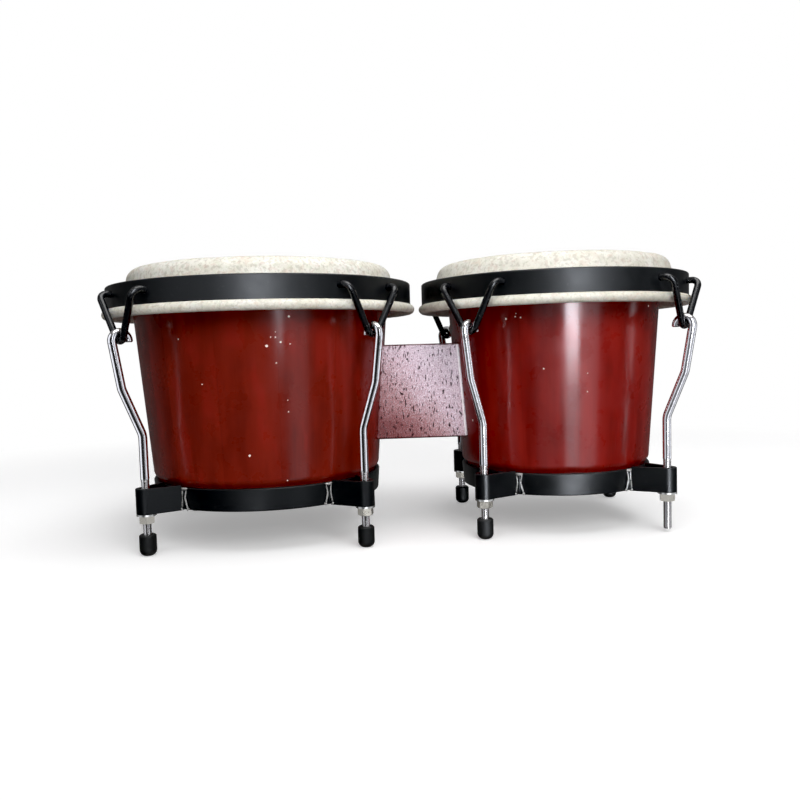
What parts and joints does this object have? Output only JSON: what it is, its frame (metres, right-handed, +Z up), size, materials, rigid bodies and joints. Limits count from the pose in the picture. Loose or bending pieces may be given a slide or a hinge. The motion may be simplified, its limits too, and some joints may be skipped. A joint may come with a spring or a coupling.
{
  "type": "bongo drums",
  "caption": "Two tapered wooden hand drums joined by a block, with natural skins held by black rims, claw hooks, bent chrome tension rods and tuning nuts on rubber-tipped rods.",
  "frame": {"origin": "centre of the whole pair's plan outline, on the plane the rubber rod tips stand on", "axes": "+Z up along both drum axes, +X from the large drum to the small drum, -Y is the front"},
  "size_m": [0.454, 0.2382, 0.2033],
  "materials": {
    "shell_wood": "glossy red-brown lacquer",
    "block_wood": "satin red stain over open grain",
    "skin": "natural rawhide",
    "hoop_steel": "plain wire",
    "black_steel": "semi-gloss black powder coat",
    "black_wire": "semi-gloss black",
    "rod_chrome": "worn chrome",
    "nut_steel": "zinc plated",
    "bolt_steel": "zinc plated",
    "tip_rubber": "matt black"
  },
  "bodies": {
    "frame": {"shell_large": "shell_wood", "head_large": "skin", "bottom_ring_large": "black_steel", "washers_large": "nut_steel", "bracket_large_front_left": "black_steel", "bracket_large_front_right": "black_steel", "bracket_large_back_right": "black_steel", "bracket_large_back_left": "black_steel", "shell_small": "shell_wood", "head_small": "skin", "bottom_ring_small": "black_steel", "washers_small": "nut_steel", "bracket_small_front_left": "black_steel", "bracket_small_front_right": "black_steel", "bracket_small_back_right": "black_steel", "bracket_small_back_left": "black_steel", "centre_block": "block_wood", "block_bolts": "bolt_steel", "block_bolt_washers": "bolt_steel", "block_bolt_nuts": "bolt_steel"},
    "rim_set_large": {"flesh_hoop_large": "hoop_steel", "rim_large": "black_steel", "claw_large_front_left": "black_wire", "rod_large_front_left": "rod_chrome", "tip_large_front_left": "tip_rubber", "claw_large_front_right": "black_wire", "rod_large_front_right": "rod_chrome", "tip_large_front_right": "tip_rubber", "claw_large_back_right": "black_wire", "rod_large_back_right": "rod_chrome", "tip_large_back_right": "tip_rubber", "claw_large_back_left": "black_wire", "rod_large_back_left": "rod_chrome", "tip_large_back_left": "tip_rubber"},
    "nut_large_front_left_body": {"nut_large_front_left": "nut_steel"},
    "nut_large_front_right_body": {"nut_large_front_right": "nut_steel"},
    "nut_large_back_right_body": {"nut_large_back_right": "nut_steel"},
    "nut_large_back_left_body": {"nut_large_back_left": "nut_steel"},
    "rim_set_small": {"flesh_hoop_small": "hoop_steel", "rim_small": "black_steel", "claw_small_front_left": "black_wire", "rod_small_front_left": "rod_chrome", "tip_small_front_left": "tip_rubber", "claw_small_front_right": "black_wire", "rod_small_front_right": "rod_chrome", "claw_small_back_right": "black_wire", "rod_small_back_right": "rod_chrome", "tip_small_back_right": "tip_rubber", "claw_small_back_left": "black_wire", "rod_small_back_left": "rod_chrome", "tip_small_back_left": "tip_rubber"},
    "nut_small_front_left_body": {"nut_small_front_left": "nut_steel"},
    "nut_small_front_right_body": {"nut_small_front_right": "nut_steel"},
    "nut_small_back_right_body": {"nut_small_back_right": "nut_steel"},
    "nut_small_back_left_body": {"nut_small_back_left": "nut_steel"}
  },
  "joints": [
    {"name": "tuning_slide_large", "type": "slide", "parent": "frame", "child": "rim_set_large", "axis": [0, 0, -1], "range_m": [-0.006, 0.005], "deforming": ["head_large"]},
    {"name": "nut_turn_large_front_left", "type": "hinge", "parent": "frame", "child": "nut_large_front_left_body", "pos_m": [-0.18398, -0.07608, 0.0256], "axis": [0, 0, 1], "range_deg": [-2160, 1800]},
    {"name": "nut_turn_large_front_right", "type": "hinge", "parent": "frame", "child": "nut_large_front_right_body", "pos_m": [-0.03182, -0.07608, 0.0256], "axis": [0, 0, 1], "range_deg": [-2160, 1800]},
    {"name": "nut_turn_large_back_right", "type": "hinge", "parent": "frame", "child": "nut_large_back_right_body", "pos_m": [-0.03182, 0.07608, 0.0256], "axis": [0, 0, 1], "range_deg": [-2160, 1800]},
    {"name": "nut_turn_large_back_left", "type": "hinge", "parent": "frame", "child": "nut_large_back_left_body", "pos_m": [-0.18398, 0.07608, 0.0256], "axis": [0, 0, 1], "range_deg": [-2160, 1800]},
    {"name": "tuning_slide_small", "type": "slide", "parent": "frame", "child": "rim_set_small", "axis": [0, 0, -1], "range_m": [-0.006, 0.005], "deforming": ["head_small"]},
    {"name": "nut_turn_small_front_left", "type": "hinge", "parent": "frame", "child": "nut_small_front_left_body", "pos_m": [0.05421, -0.06689, 0.0256], "axis": [0, 0, 1], "range_deg": [-2160, 1800]},
    {"name": "nut_turn_small_front_right", "type": "hinge", "parent": "frame", "child": "nut_small_front_right_body", "pos_m": [0.18799, -0.06689, 0.0256], "axis": [0, 0, 1], "range_deg": [-2160, 1800]},
    {"name": "nut_turn_small_back_right", "type": "hinge", "parent": "frame", "child": "nut_small_back_right_body", "pos_m": [0.18799, 0.06689, 0.0256], "axis": [0, 0, 1], "range_deg": [-2160, 1800]},
    {"name": "nut_turn_small_back_left", "type": "hinge", "parent": "frame", "child": "nut_small_back_left_body", "pos_m": [0.05421, 0.06689, 0.0256], "axis": [0, 0, 1], "range_deg": [-2160, 1800]}
  ],
  "couplings": [
    {"joint": "nut_turn_large_front_left", "follows": "tuning_slide_large", "rad_per_m": 6283.2},
    {"joint": "nut_turn_large_front_right", "follows": "tuning_slide_large", "rad_per_m": 6283.2},
    {"joint": "nut_turn_large_back_right", "follows": "tuning_slide_large", "rad_per_m": 6283.2},
    {"joint": "nut_turn_large_back_left", "follows": "tuning_slide_large", "rad_per_m": 6283.2},
    {"joint": "nut_turn_small_front_left", "follows": "tuning_slide_small", "rad_per_m": 6283.2},
    {"joint": "nut_turn_small_front_right", "follows": "tuning_slide_small", "rad_per_m": 6283.2},
    {"joint": "nut_turn_small_back_right", "follows": "tuning_slide_small", "rad_per_m": 6283.2},
    {"joint": "nut_turn_small_back_left", "follows": "tuning_slide_small", "rad_per_m": 6283.2}
  ]
}
